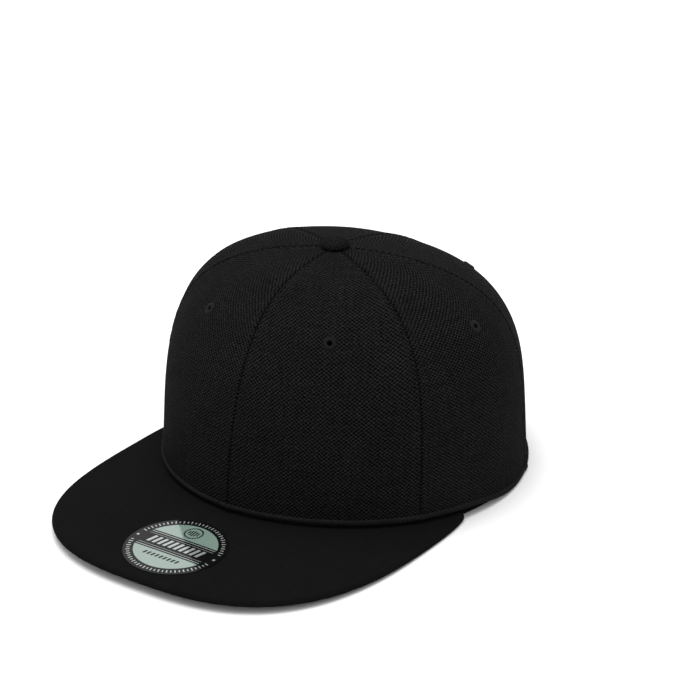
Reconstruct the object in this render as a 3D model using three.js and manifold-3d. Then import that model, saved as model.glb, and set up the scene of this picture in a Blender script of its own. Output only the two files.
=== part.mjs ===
// A fitted baseball cap with a six-panel crown and a flat brim, standing on a flat surface.
// Millimetres, +Z up. The front of the cap faces -Y and the wearer's left is +X.
// The origin is on the surface, under the middle of the whole cap.

import * as THREE from 'three';
import { mergeVertices } from 'three/addons/utils/BufferGeometryUtils.js';
import Module from 'manifold-3d';

const wasm = await Module();
wasm.setup();

// Driving dimensions

const gap = 0.3; // clearance between neighbouring pieces
const cloth = 1.8; // wall of a crown panel

const foot = { side: 93.5, front: 103, rear: 93, squareness: 1.9 }; // the crown's oval at its foot
const top = { height: 118.3, forward: 11, forwardPower: 2.8, lean: 0.045 };

// Exponents of the crown's profile in each direction: how it runs outward and upward.
const profiles = {
  front: { outward: 0.68, upward: 0.9 },
  side: { outward: 1.0, upward: 0.355 },
  rear: { outward: 1.25, upward: 0.41 },
};

// Seams of one half of the crown, in degrees round from the front.
const seams = {
  frontMiddle: { atFoot: 0, atTop: 0 },
  frontSide: { atFoot: 59.5, atTop: 66.7 },
  rearSide: { atFoot: 111, atTop: 116.1 },
  rearMiddle: { atFoot: 180, atTop: 180 },
};
const seamDepth = 0.4;
const seamWidth = 1.5;

// The three panels of one half, each with its eyelet.
const panels = [
  { name: 'front', from: seams.frontMiddle, to: seams.frontSide, eyeletAngle: 33.3, eyeletHeight: 95.9 },
  { name: 'side', from: seams.frontSide, to: seams.rearSide, eyeletAngle: 91.4, eyeletHeight: 92.2 },
  { name: 'rear', from: seams.rearSide, to: seams.rearMiddle, eyeletAngle: 148, eyeletHeight: 94.2 },
];
const sides = [
  { name: 'left', sign: 1 },
  { name: 'right', sign: -1 },
];
const panelColumns = [0, 0.03, 0.08, 0.2, 0.35, 0.5, 0.65, 0.8, 0.92, 0.97, 1];
const panelRows = 14;

const hem = { height: 2.8, proud: 1.1, stations: 72 };
const band = { height: 32, thickness: 1.2, aboveFloor: 0.8, stations: 60 };
const eyelet = { radius: 3.4, hole: 1.25, sleeve: 1.9, proud: 0.8, sides: 14 };
const button = { radius: 7.3, height: 4.8, shank: 1.8, sides: 20 };

const brim = {
  thickness: 3.8,
  halfWidth: 93.3,
  widestAt: 58, // how far forward of the oval's centre the brim is widest
  length: 118.1, // from there to its tip
  acrossPower: 0.74, // exponents of the front curve: 1 and 1 give an ellipse, less is squarer
  forwardPower: 0.7,
  arch: 5.8, // rise of the middle above the side edges, as far as the front of the crown
  flattening: 0.65, // share of that arch that is gone at the tip
  lift: 0.0135, // rise toward the tip, for each millimetre
  endAngle: 73.6, // where the brim ends on the crown, in degrees round from the front
  settle: 25, // degrees over which the crown's foot comes down behind the brim
  stations: 58,
};
const sticker = { radius: 25.5, thickness: 0.3, forward: 144, sides: 40 };

const colours = { cloth: '#151518', hem: '#111113', band: '#0f0f10', thread: '#18181b', sticker: '#8fa8a0' };

// Geometry helpers

const radians = THREE.MathUtils.degToRad;
const { lerp, smoothstep } = THREE.MathUtils;

// Closed solid swept through loops of points, one loop for each station. A loop runs along one
// face of the piece and back along the other, so an open sweep is capped between the two.
function loftSolid(loops, endless = false) {
  const count = loops[0].length;
  const faces = [];
  const quad = (a, b, c, d) => faces.push([a, b, c], [a, c, d]);
  const spans = endless ? loops.length : loops.length - 1;
  for (let station = 0; station < spans; station += 1) {
    const here = station * count;
    const there = ((station + 1) % loops.length) * count;
    for (let i = 0; i < count; i += 1) {
      const j = (i + 1) % count;
      quad(here + i, here + j, there + j, there + i);
    }
  }
  if (!endless) {
    const end = spans * count;
    for (let i = 0; i < count / 2 - 1; i += 1) {
      const across = count - 1 - i;
      quad(i + 1, i, across, across - 1);
      quad(end + i, end + i + 1, end + across - 1, end + across);
    }
  }
  return solid(loops.flat(), faces);
}

// Indexed geometry with its faces pointing out.
function solid(points, faces) {
  const product = new THREE.Vector3();
  let volume = 0;
  for (const [a, b, c] of faces) {
    volume += product.crossVectors(points[a], points[b]).dot(points[c]);
  }
  const outward = volume > 0 ? faces : faces.map(([a, b, c]) => [a, c, b]);
  const geometry = new THREE.BufferGeometry().setFromPoints(points);
  geometry.setIndex(outward.flat());
  geometry.computeVertexNormals();
  return geometry;
}

// Values that cut a path into steps of equal length.
function evenSteps(pathPoint, from, to, steps) {
  const samples = 160;
  const lengths = [0];
  let last = pathPoint(from);
  for (let i = 1; i <= samples; i += 1) {
    const next = pathPoint(lerp(from, to, i / samples));
    lengths.push(lengths[i - 1] + next.distanceTo(last));
    last = next;
  }
  const values = [];
  let i = 1;
  for (let k = 0; k <= steps; k += 1) {
    const target = (lengths[samples] * k) / steps;
    while (i < samples && lengths[i] < target) i += 1;
    const share = (target - lengths[i - 1]) / (lengths[i] - lengths[i - 1]);
    values.push(lerp(from, to, (i - 1 + share) / samples));
  }
  return values;
}

// Value between low and high at which a rising function reaches a target.
function solve(rising, target, low = 0, high = 1) {
  for (let i = 0; i < 40; i += 1) {
    const middle = (low + high) / 2;
    if (rising(middle) < target) low = middle;
    else high = middle;
  }
  return low;
}

function toManifold(geometry) {
  const bare = geometry.clone();
  bare.deleteAttribute('normal');
  bare.deleteAttribute('uv');
  const merged = mergeVertices(bare);
  return new wasm.Manifold(new wasm.Mesh({
    numProp: 3,
    vertProperties: new Float32Array(merged.attributes.position.array),
    triVerts: new Uint32Array(merged.index.array),
  }));
}

function fromManifold(body) {
  const mesh = body.getMesh();
  const geometry = new THREE.BufferGeometry();
  geometry.setAttribute('position', new THREE.BufferAttribute(mesh.vertProperties, 3));
  geometry.setIndex(new THREE.BufferAttribute(mesh.triVerts, 1));
  geometry.computeVertexNormals();
  return geometry;
}

// Turned solid about +Z from a profile of [radius, height] pairs that starts and ends on the axis
// or closes on itself.
function turned(profile, segments) {
  const points = profile.map(([radius, height]) => new THREE.Vector2(radius, height));
  return new THREE.LatheGeometry(points, segments).rotateX(Math.PI / 2);
}

// Surfaces of the cap

function brimTop(x, y) {
  const restsAt = brim.halfWidth - brim.thickness / 2;
  const ahead = Math.max(0, -y - foot.front) / (brim.widestAt + brim.length - foot.front);
  const arched = brim.arch * (1 - (x / restsAt) ** 2) * (1 - brim.flattening * ahead);
  const lifted = brim.lift * Math.max(0, -y - brim.widestAt);
  return brim.thickness + arched + lifted;
}

// Point of the crown's foot oval, moved outward in the plane, at an angle round from the front.
function ovalPoint(angle, outward = 0) {
  const rim = (a) => {
    const across = Math.abs(Math.sin(a)) ** foot.squareness;
    const along = Math.abs(Math.cos(a)) ** foot.squareness;
    const scale = (across + along) ** (-1 / foot.squareness);
    const reach = Math.cos(a) > 0 ? foot.front : foot.rear;
    return new THREE.Vector3(foot.side * Math.sin(a) * scale, -reach * Math.cos(a) * scale, 0);
  };
  if (outward === 0) return rim(angle);
  const step = 0.001;
  const along = rim(angle + step).sub(rim(angle - step)).normalize();
  return rim(angle).add(new THREE.Vector3(along.y, -along.x, 0).multiplyScalar(outward));
}

// Height of the crown's foot: on the brim in front, and on the floor behind.
function footHeight(angle) {
  const wrapped = Math.abs(Math.atan2(Math.sin(angle), Math.cos(angle)));
  const start = radians(brim.endAngle);
  const down = smoothstep(wrapped, start, start + radians(brim.settle));
  const seat = ovalPoint(angle, -cloth);
  return (brimTop(seat.x, seat.y) + gap) * (1 - down);
}

// How far the crown has come in and up at a rise from 0 at the foot to 1 at the top.
function crownShares(angle, rise) {
  const front = Math.max(0, Math.cos(angle)) ** 2;
  const rear = Math.max(0, -Math.cos(angle)) ** 2;
  const side = 1 - front - rear;
  const blend = (key) => profiles.front[key] * front + profiles.side[key] * side + profiles.rear[key] * rear;
  const turn = (Math.PI / 2) * rise ** (1 / blend('upward'));
  const height = Math.sin(turn) ** blend('upward');
  const reach = Math.max(0, Math.cos(turn)) ** blend('outward') * (1 - top.lean * height);
  return { height, reach };
}

function crownPoint(angle, rise) {
  const { height, reach } = crownShares(angle, rise);
  const point = ovalPoint(angle).multiplyScalar(reach);
  point.y -= top.forward * height ** top.forwardPower;
  point.z = lerp(footHeight(angle), top.height, height);
  return point;
}

function crownNormal(angle, rise) {
  const step = 0.001;
  const around = crownPoint(angle + step, rise).sub(crownPoint(angle - step, rise));
  const above = crownPoint(angle, Math.min(rise + step, 1));
  const below = crownPoint(angle, Math.max(rise - step, 0));
  return around.cross(above.sub(below)).normalize();
}

function crownRadius(angle, rise) {
  return ovalPoint(angle).length() * crownShares(angle, rise).reach;
}

function riseAtHeight(angle, height) {
  return solve((rise) => crownPoint(angle, rise).z, height);
}

function seamAngle(seam, rise) {
  const up = crownShares(radians(seam.atFoot), rise).height ** 2;
  return radians(lerp(seam.atFoot, seam.atTop, up));
}

function eyeletSeat(panel, side) {
  const angle = radians(panel.eyeletAngle);
  const rise = riseAtHeight(angle, panel.eyeletHeight);
  const point = crownPoint(angle, rise);
  const normal = crownNormal(angle, rise);
  point.x *= side.sign;
  normal.x *= side.sign;
  return { point, turn: new THREE.Quaternion().setFromUnitVectors(new THREE.Vector3(0, 0, 1), normal) };
}

// Pieces

// One crown panel: a curved wall between two seams, drawn in at the seams, with its eyelet hole.
function panelSolid(panel, side) {
  const holeRadius = button.shank + gap;
  const edges = (rise) => {
    const start = seamAngle(panel.from, rise);
    const end = seamAngle(panel.to, rise);
    const clear = gap / 2 / crownRadius((start + end) / 2, rise);
    return { start: start + clear, end: end - clear };
  };
  const column = (share) => {
    const angleAt = (rise) => {
      const { start, end } = edges(rise);
      return lerp(start, end, share);
    };
    const low = riseAtHeight(angleAt(0), footHeight(angleAt(0)) + hem.height + gap);
    const high = solve((rise) => -crownRadius(angleAt(rise), rise), -holeRadius, 0.5, 1);
    const path = (rise) => crownPoint(angleAt(rise), rise);
    const outer = [];
    const inner = [];
    for (const rise of evenSteps(path, low, high, panelRows)) {
      const { start, end } = edges(rise);
      const fromSeam = Math.min(share, 1 - share) * (end - start) * crownRadius(angleAt(rise), rise);
      const drawnIn = seamDepth * Math.exp(-((fromSeam / seamWidth) ** 2));
      const normal = crownNormal(angleAt(rise), rise);
      outer.push(path(rise).addScaledVector(normal, -drawnIn));
      inner.unshift(path(rise).addScaledVector(normal, -drawnIn - cloth));
    }
    return [...outer, ...inner].map((point) => point.setX(point.x * side.sign));
  };
  const wall = loftSolid(panelColumns.map(column));
  const seat = eyeletSeat(panel, side);
  const drill = new THREE.CylinderGeometry(eyelet.sleeve + gap, eyelet.sleeve + gap, 6 * cloth, eyelet.sides);
  drill.rotateX(Math.PI / 2).applyQuaternion(seat.turn).translate(...seat.point);
  return fromManifold(toManifold(wall).subtract(toManifold(drill)));
}

// The rolled edge round the foot of the crown.
function hemSolid() {
  const section = [
    { outward: -cloth, up: 0 },
    { outward: 0.3 * hem.proud, up: 0 },
    { outward: 0.85 * hem.proud, up: 0.2 * hem.height },
    { outward: hem.proud, up: 0.5 * hem.height },
    { outward: 0.85 * hem.proud, up: 0.8 * hem.height },
    { outward: 0.3 * hem.proud, up: hem.height },
    { outward: -cloth, up: hem.height },
  ];
  const loops = [];
  for (let station = 0; station < hem.stations; station += 1) {
    const angle = (2 * Math.PI * station) / hem.stations;
    loops.push(section.map(({ outward, up }) => ovalPoint(angle, outward).setZ(footHeight(angle) + up)));
  }
  return loftSolid(loops, true);
}

// The band that goes round the head, inside the foot of the crown and the inner edge of the brim.
function bandSolid() {
  const clear = cloth + seamDepth + gap / 2;
  const wallPoint = (angle, height, inward) => {
    if (height <= footHeight(angle)) return ovalPoint(angle, -inward).setZ(height);
    const rise = riseAtHeight(angle, height);
    const point = crownPoint(angle, rise).addScaledVector(crownNormal(angle, rise), -inward);
    return point.setZ(height);
  };
  const loops = [];
  for (let station = 0; station < band.stations; station += 1) {
    const angle = (2 * Math.PI * station) / band.stations;
    const low = Math.max(band.aboveFloor, footHeight(angle) - brim.thickness);
    const high = footHeight(angle) + band.height;
    const heights = [low, (low + high) / 2, high];
    loops.push([
      ...heights.map((height) => wallPoint(angle, height, clear)),
      ...heights.reverse().map((height) => wallPoint(angle, height, clear + band.thickness)),
    ]);
  }
  return loftSolid(loops, true);
}

// One side of the brim's outline, from where it leaves the crown, at 0, to its tip, at 1.
function brimEdge(share) {
  const leaves = ovalPoint(radians(brim.endAngle), hem.proud);
  const side = 0.2;
  if (share < side) {
    const turn = (share / side) * (Math.PI / 2);
    const across = lerp(leaves.x, brim.halfWidth, Math.sin(turn));
    return new THREE.Vector3(across, lerp(-brim.widestAt, leaves.y, Math.cos(turn)), 0);
  }
  const turn = ((share - side) / (1 - side)) * (Math.PI / 2);
  const across = brim.halfWidth * Math.max(0, Math.cos(turn)) ** brim.acrossPower;
  const forward = brim.widestAt + brim.length * Math.sin(turn) ** brim.forwardPower;
  return new THREE.Vector3(across, -forward, 0);
}

// The brim: an arched board from under the crown's hem to its outline, with a round edge.
function brimSolid() {
  const round = brim.thickness / 2;
  const half = brim.stations / 2;
  const end = radians(brim.endAngle);
  const outerShares = evenSteps(brimEdge, 0, 1, half);
  const innerAngles = evenSteps((angle) => ovalPoint(angle, -cloth), -end, 0, half);
  const outline = outerShares.map((share) => brimEdge(share));
  const inside = innerAngles.map((angle) => ovalPoint(-angle, -cloth));
  const mirrored = (points) => points.slice(0, -1).reverse().map((p) => new THREE.Vector3(-p.x, p.y, 0));
  outline.push(...mirrored(outline));
  inside.push(...mirrored(inside));
  const across = [0, 0.33, 0.67, 1];
  const bends = [54, 18, -18, -54].map(radians);
  const loops = outline.map((edge, i) => {
    const before = outline[Math.max(i - 1, 0)];
    const after = outline[Math.min(i + 1, outline.length - 1)];
    const along = after.clone().sub(before).normalize();
    const outward = new THREE.Vector3(-along.y, along.x, 0);
    if (outward.dot(edge.clone().sub(inside[i])) < 0) outward.negate();
    const shoulder = edge.clone().addScaledVector(outward, -round);
    const flats = across.map((share) => inside[i].clone().lerp(shoulder, share));
    const upper = flats.map((p) => p.clone().setZ(brimTop(p.x, p.y)));
    const lower = flats.map((p) => p.clone().setZ(brimTop(p.x, p.y) - brim.thickness)).reverse();
    const nose = bends.map((bend) => {
      const p = shoulder.clone().addScaledVector(outward, round * Math.cos(bend));
      return p.setZ(brimTop(p.x, p.y) - round + round * Math.sin(bend));
    });
    return [...upper, ...nose, ...lower];
  });
  return loftSolid(loops);
}

// The covered button, with the shank that goes down through the top of the crown.
function buttonSolid() {
  const { radius, height, shank, sides: segments } = button;
  const shankLength = gap + cloth + 1;
  return turned([
    [0, -shankLength],
    [shank, -shankLength],
    [shank, 0],
    [0.9 * radius, 0],
    [radius, 0.24 * height],
    [0.97 * radius, 0.5 * height],
    [0.84 * radius, 0.76 * height],
    [0.55 * radius, 0.94 * height],
    [0, height],
  ], segments);
}

// A stitched eyelet: a ring on the outside of its panel, with a sleeve through the cloth.
function eyeletSolid() {
  const { radius, hole, sleeve, proud, sides: segments } = eyelet;
  const inside = -cloth - gap;
  return turned([
    [hole, inside],
    [sleeve, inside],
    [sleeve, gap],
    [radius, gap],
    [0.96 * radius, gap + 0.6 * proud],
    [0.68 * radius, gap + proud],
    [hole, gap + 0.5 * proud],
    [hole, inside],
  ], segments);
}

// The sticker: a thin disc that follows the brim's arch.
function stickerSolid() {
  const low = gap;
  const high = gap + sticker.thickness;
  const middle = 0.6 * sticker.radius;
  const rim = sticker.radius;
  const disc = turned([[0, low], [middle, low], [rim, low], [rim, high], [middle, high], [0, high]], sticker.sides);
  disc.translate(0, -sticker.forward, 0);
  const place = disc.attributes.position;
  for (let i = 0; i < place.count; i += 1) {
    place.setZ(i, place.getZ(i) + brimTop(place.getX(i), place.getY(i)));
  }
  return disc;
}

// Assembly

function piece(name, geometry, colour, roughness = 0.95) {
  const material = new THREE.MeshStandardMaterial({ color: colour, roughness, metalness: 0 });
  const mesh = new THREE.Mesh(geometry, material);
  mesh.name = name;
  return mesh;
}

const crown = new THREE.Group();
for (const panel of panels) {
  for (const side of sides) {
    crown.add(piece(`panel_${panel.name}_${side.name}`, panelSolid(panel, side), colours.cloth));
    const ring = piece(`eyelet_${panel.name}_${side.name}`, eyeletSolid(), colours.thread, 0.8);
    const seat = eyeletSeat(panel, side);
    ring.position.copy(seat.point);
    ring.quaternion.copy(seat.turn);
    crown.add(ring);
  }
}
crown.add(piece('crown_hem', hemSolid(), colours.hem));
crown.add(piece('sweatband', bandSolid(), colours.band, 0.9));
const topButton = piece('button', buttonSolid(), colours.cloth);
topButton.position.set(0, -top.forward, top.height + gap);
crown.add(topButton);

const peak = new THREE.Group();
peak.add(piece('brim', brimSolid(), colours.cloth));
peak.add(piece('brim_sticker', stickerSolid(), colours.sticker, 0.35));

const cap = new THREE.Group();
cap.add(crown, peak);
cap.position.y = -new THREE.Box3().setFromObject(cap).getCenter(new THREE.Vector3()).y;

const group = new THREE.Group();
group.add(cap);

export default group;
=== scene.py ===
"""A fitted baseball cap with a flat brim: its cloth, stitching, eyelets, button and sticker.

The front of the cap faces -Y and its wearer's left is +X. All lengths are in metres.
"""

import math
from collections import namedtuple

import bpy
import numpy as np
from mathutils import Matrix, Vector


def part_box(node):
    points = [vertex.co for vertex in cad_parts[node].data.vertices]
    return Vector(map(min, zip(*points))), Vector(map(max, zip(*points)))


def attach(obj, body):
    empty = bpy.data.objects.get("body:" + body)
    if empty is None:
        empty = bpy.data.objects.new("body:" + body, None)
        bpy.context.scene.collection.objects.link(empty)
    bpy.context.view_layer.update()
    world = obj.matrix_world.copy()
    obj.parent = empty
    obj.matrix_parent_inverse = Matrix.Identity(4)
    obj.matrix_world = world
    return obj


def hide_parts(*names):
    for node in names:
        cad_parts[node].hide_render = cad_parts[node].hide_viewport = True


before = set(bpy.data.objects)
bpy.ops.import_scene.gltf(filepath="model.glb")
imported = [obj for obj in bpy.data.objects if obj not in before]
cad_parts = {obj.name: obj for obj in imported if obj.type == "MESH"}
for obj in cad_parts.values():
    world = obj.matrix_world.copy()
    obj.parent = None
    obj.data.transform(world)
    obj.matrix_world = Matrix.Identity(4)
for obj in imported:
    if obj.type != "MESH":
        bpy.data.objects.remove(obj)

bl_info = {
    "name": "Flat-Brim Fitted Cap",
    "version": (1, 0, 0),
    "blender": (4, 5, 0),
    "location": "View3D > Sidebar > Cap",
    "description": "Dresses the fixed frame of a fitted baseball cap in cloth, thread and a sticker",
    "category": "Add Mesh",
}

MM = 0.001
GAP = 0.3 * MM  # between pieces that rest on each other
TINY = 0.001  # a step in radians or in rise, to find a slope
BODY = "root"

# Places that come from the frame

TOP_FORWARD = 11 * MM
HEM_PROUD = 1.1 * MM
BUTTON_HEIGHT = 4.8 * MM
hem_low, hem_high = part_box("crown_hem")
button_low, button_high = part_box("button")
sticker_low, sticker_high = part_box("brim_sticker")
CENTRE_Y = (button_low.y + button_high.y) / 2 + TOP_FORWARD
APEX_HEIGHT = button_high.z - BUTTON_HEIGHT - GAP
BUTTON_RADIUS = (button_high.x - button_low.x) / 2
STICKER_RADIUS = (sticker_high.x - sticker_low.x) / 2

# Seams of one half of the crown, in degrees round from the front at the foot and at the top.
Seam = namedtuple("Seam", "at_foot at_top")
SEAMS = {
    "front_middle": Seam(0, 0),
    "front_side": Seam(59.5, 66.7),
    "rear_side": Seam(111, 116.1),
    "rear_middle": Seam(180, 180),
}

# The three panels of one half, with the place of each eyelet.
Panel = namedtuple("Panel", "name start end eyelet_angle eyelet_height")
PANELS = (
    Panel("front", "front_middle", "front_side", 33.3, 95.9 * MM),
    Panel("side", "front_side", "rear_side", 91.4, 92.2 * MM),
    Panel("rear", "rear_side", "rear_middle", 148, 94.2 * MM),
)
SIDES = {"left": 1, "right": -1}

# Exponents of the crown's profile in each direction: how it runs outward and upward.
Profile = namedtuple("Profile", "outward upward")
FRONT = Profile(0.68, 0.9)
SIDE = Profile(1.0, 0.355)
REAR = Profile(1.25, 0.41)


def length(name, default, description):
    """A size that a user can change."""
    return bpy.props.FloatProperty(
        name=name, description=description, default=default, unit="LENGTH", precision=5
    )


def amount(name, default, description):
    """A plain number that a user can change."""
    return bpy.props.FloatProperty(name=name, description=description, default=default, precision=4)


def colour(name, default, description):
    """A colour that a user can change."""
    return bpy.props.FloatVectorProperty(
        name=name, description=description, default=default, subtype="COLOR", size=3, min=0, max=1
    )


class CapCrown(bpy.types.PropertyGroup):
    """Sizes of the crown."""

    side: length("Side reach", hem_high.x - HEM_PROUD, "Half the crown's width at its foot")
    front: length("Front reach", CENTRE_Y - hem_low.y - HEM_PROUD, "From the centre to the front")
    rear: length("Rear reach", hem_high.y - CENTRE_Y - HEM_PROUD, "From the centre to the rear")
    squareness: amount("Squareness", 1.9, "Exponent of the foot oval, where 2 is an ellipse")
    height: length("Height", APEX_HEIGHT, "Height of the crown's top over the floor")
    top_forward: length("Top forward", TOP_FORWARD, "How far the top lies in front of the centre")
    forward_power: amount("Forward power", 2.8, "How late on the way up the crown shifts forward")
    lean: amount("Lean", 0.045, "Share by which the wall draws in toward the top")
    cloth: length("Cloth", 1.8 * MM, "Thickness of the crown's wall")
    hem_height: length("Hem height", 4.0 * MM, "From the brim or floor to the top of the rolled hem")
    tuck: length("Tuck", 1.3 * MM, "How far the roll stays clear of the brim")
    hem_proud: length("Hem proud", HEM_PROUD, "How far the rolled hem stands out")
    band_height: length("Band height", 32 * MM, "Height of the sweatband")
    band_cloth: length("Band cloth", 1.2 * MM, "Thickness of the sweatband")


class CapBrim(bpy.types.PropertyGroup):
    """Sizes of the brim and its sticker."""

    thickness: length("Thickness", 3.8 * MM, "Thickness of the board with its cloth")
    half_width: length("Half width", 93.3 * MM, "Half the brim's width")
    widest_at: length("Widest at", 58 * MM, "How far forward of the centre the brim is widest")
    reach: length("Reach", 118.1 * MM, "From the widest place to the tip")
    across_power: amount("Across power", 0.74, "Exponent of the front curve across, 1 for an ellipse")
    forward_power: amount("Forward power", 0.7, "Exponent of the front curve forward, 1 for an ellipse")
    arch: length("Arch", 5.8 * MM, "How far the middle rises above the side edges, back from the tip")
    flattening: amount("Flattening", 0.65, "Share of the arch that is gone at the tip")
    lift: amount("Lift", 0.0135, "Rise toward the tip for each metre of length")
    end_angle: amount("End angle", 73.6, "Degrees round from the front at which the brim ends")
    settle: amount("Settle", 25, "Degrees over which the crown's foot comes down behind the brim")
    sticker_radius: length("Sticker radius", STICKER_RADIUS, "Radius of the sticker")
    print_radius: length("Print radius", 20.5 * MM, "Radius of the sticker's two green fields")


class CapSewing(bpy.types.PropertyGroup):
    """Sizes of the seams, stitches and eyelets."""

    groove_depth: length("Groove depth", 0.95 * MM, "Depth of the crease at a seam")
    groove_width: length("Groove width", 0.44 * MM, "Width of that crease")
    roll_height: length("Roll height", 0.16 * MM, "Height of the cloth that rolls into the crease")
    roll_distance: length("Roll distance", 1.5 * MM, "From the seam to the top of that roll")
    roll_width: length("Roll width", 0.8 * MM, "Width of that roll")
    fold_height: length("Fold height", 0.12 * MM, "How far the turned-in cloth lifts the panel")
    fold_width: length("Fold width", 6.4 * MM, "How far the turned-in cloth reaches from the seam")
    row_distance: length("Row distance", 3.1 * MM, "From the seam to its row of stitches")
    row_depth: length("Row depth", 0.14 * MM, "How far the stitches pull the cloth in")
    row_width: length("Row width", 0.5 * MM, "Width of the line that they pull in")
    pitch: length("Pitch", 2.8 * MM, "From one stitch to the next")
    stitch: length("Stitch", 2.0 * MM, "Length of one stitch")
    thread: length("Thread", 0.2 * MM, "Radius of the sewing thread")
    pucker: length("Pucker", 0.09 * MM, "Height of the ripples beside a seam")
    pucker_reach: length("Pucker reach", 5 * MM, "How far those ripples reach from the seam")
    ripple: length("Ripple", 7.5 * MM, "From one ripple to the next")
    wave: length("Wave", 0.3 * MM, "Height of the soft waves in the panels")
    gather: length("Gather", 3.4 * MM, "From one gather of the hem to the next")
    knot: length("Knot", 2.6 * MM, "Reach of the hem's thicker place at a seam")
    eyelet_hole: length("Eyelet hole", 1.2 * MM, "Radius of the hole in an eyelet")
    eyelet_rim: length("Eyelet rim", 3.35 * MM, "Radius of an eyelet's threads")
    cloth_hole: length("Cloth hole", 2.0 * MM, "Radius of the hole in the cloth under an eyelet")


class CapColours(bpy.types.PropertyGroup):
    """Colours of the cloth, thread and sticker, and the size of the weave."""

    cloth: colour("Cloth", (0.0185, 0.0182, 0.0192), "Raised yarn of the crown's cloth")
    # Painted shade: the gaps between the yarns are coloured nearly black for the shade that falls into
    # them.
    cloth_gap: colour("Cloth gaps", (0.0003, 0.0003, 0.0004), "Gaps between the yarns")
    brim: colour("Brim cloth", (0.0062, 0.0062, 0.0067), "Cloth of the brim")
    thread: colour("Thread", (0.005, 0.005, 0.0055), "Sewing thread")
    eyelet: colour("Eyelet thread", (0.006, 0.006, 0.0066), "Thread round the eyelets")
    band: colour("Band", (0.008, 0.008, 0.0085), "Sweatband")
    film: colour("Film", (0.004, 0.004, 0.0045), "Dark ring and bar of the sticker")
    foil: colour("Foil", (0.175, 0.25, 0.213), "Green foil of the sticker")
    pale_foil: colour("Pale foil", (0.36, 0.4, 0.38), "Pale foil of the sticker's lines and marks")
    weave: length("Weave", 1.9 * MM, "Repeat of the crown's weave, up the panel")
    weave_width: amount("Weave width", 1.23, "Repeat of that weave across the panel, as a share")
    brim_weave: length("Brim weave", 1.15 * MM, "Repeat of the brim's weave")


class CapStudio(bpy.types.PropertyGroup):
    """The camera's place, the floor and the lights."""

    azimuth: amount("Azimuth", 35.2, "Degrees that the camera stands round toward the wearer's left")
    elevation: amount("Elevation", 25.0, "Degrees that the camera looks down")
    roll: amount("Roll", -0.3, "Degrees that the camera is turned about its view")
    distance: length("Distance", 1.4846, "From the camera to the crown's foot, along its view")
    slide: length("Slide", 0.7 * MM, "How far the camera stands to the right of that")
    raise_by: length("Raise", 52.08 * MM, "How far the camera stands above that, across its view")
    lens: length("Lens", 147.6 * MM, "Focal length for a sensor 36 mm wide")
    floor_size: length("Floor size", 9.0, "Side of the floor")
    floor: colour("Floor", (0.9, 0.9, 0.9), "Colour of the floor")
    world: amount("World", 0.85, "Strength of the light from all round")
    light_size: length("Light size", 1.6, "Side of each soft light")
    top_power: amount("Top light", 34, "Power of the soft light above, in watts")
    left_power: amount("Left light", 2, "Power of the soft light at the left, in watts")


# Small tools


def unit(vectors):
    """Vectors made one long."""
    return vectors / np.linalg.norm(vectors, axis=-1, keepdims=True)


def full_turn(count):
    """Angles at equal steps all the way round."""
    return np.linspace(0, 2 * math.pi, count, endpoint=False)


def bell(value, middle, width):
    """1 at the middle, with a soft fall toward 0 on both sides."""
    return np.exp(-(((value - middle) / width) ** 2))


def smooth_step(value, low, high):
    """0 below low and 1 above high, with a soft change between them."""
    share = np.clip((value - low) / (high - low), 0, 1)
    return share * share * (3 - 2 * share)


def run_along(points):
    """How far along a line each of its points lies."""
    steps = np.linalg.norm(np.diff(points, axis=0), axis=1)
    return np.concatenate([[0], np.cumsum(steps)])


def even_points(points, count):
    """Points at equal steps along a line of points."""
    run = run_along(points)
    wanted = np.linspace(0, run[-1], count)
    return np.stack([np.interp(wanted, run, points[:, i]) for i in range(points.shape[1])], -1)


# Shape of the crown and the brim, about the centre of the crown's foot


def brim_top(cap, x, y):
    """Height of the brim's upper face."""
    brim = cap.brim
    rests_at = brim.half_width - brim.thickness / 2
    front = cap.crown.front
    ahead = np.maximum(0, -y - front) / (brim.widest_at + brim.reach - front)
    arched = brim.arch * (1 - (x / rests_at) ** 2) * (1 - brim.flattening * ahead)
    lifted = brim.lift * np.maximum(0, -y - brim.widest_at)
    return brim.thickness + arched + lifted


def oval_point(crown, angle, outward=0.0):
    """Points of the crown's foot oval, moved outward in the plane."""
    angle = np.asarray(angle, float)

    def rim(a):
        across = np.abs(np.sin(a)) ** crown.squareness
        along = np.abs(np.cos(a)) ** crown.squareness
        scale = (across + along) ** (-1 / crown.squareness)
        reach = np.where(np.cos(a) > 0, crown.front, crown.rear)
        return np.stack([crown.side * np.sin(a) * scale, -reach * np.cos(a) * scale, 0 * a], -1)

    along = unit(rim(angle + TINY) - rim(angle - TINY))
    normal = np.stack([along[..., 1], -along[..., 0], 0 * angle], -1)
    return rim(angle) + normal * np.asarray(outward)[..., None]


def foot_height(cap, angle):
    """Height of the crown's foot: on the brim in front, and on the floor behind."""
    wrapped = np.abs(np.arctan2(np.sin(angle), np.cos(angle)))
    start = math.radians(cap.brim.end_angle)
    down = smooth_step(wrapped, start, start + math.radians(cap.brim.settle))
    seat = oval_point(cap.crown, angle, -cap.crown.cloth)
    return (brim_top(cap, seat[..., 0], seat[..., 1]) + GAP) * (1 - down)


def crown_shares(crown, angle, rise):
    """How far the crown has come up and in at a rise from 0 at the foot to 1 at the top."""
    front = np.maximum(0, np.cos(angle)) ** 2
    rear = np.maximum(0, -np.cos(angle)) ** 2
    side = 1 - front - rear
    upward = FRONT.upward * front + SIDE.upward * side + REAR.upward * rear
    outward = FRONT.outward * front + SIDE.outward * side + REAR.outward * rear
    turn = math.pi / 2 * np.clip(rise, 0, 1) ** (1 / upward)
    height = np.sin(turn) ** upward
    reach = np.maximum(0, np.cos(turn)) ** outward * (1 - crown.lean * height)
    return height, reach


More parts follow.
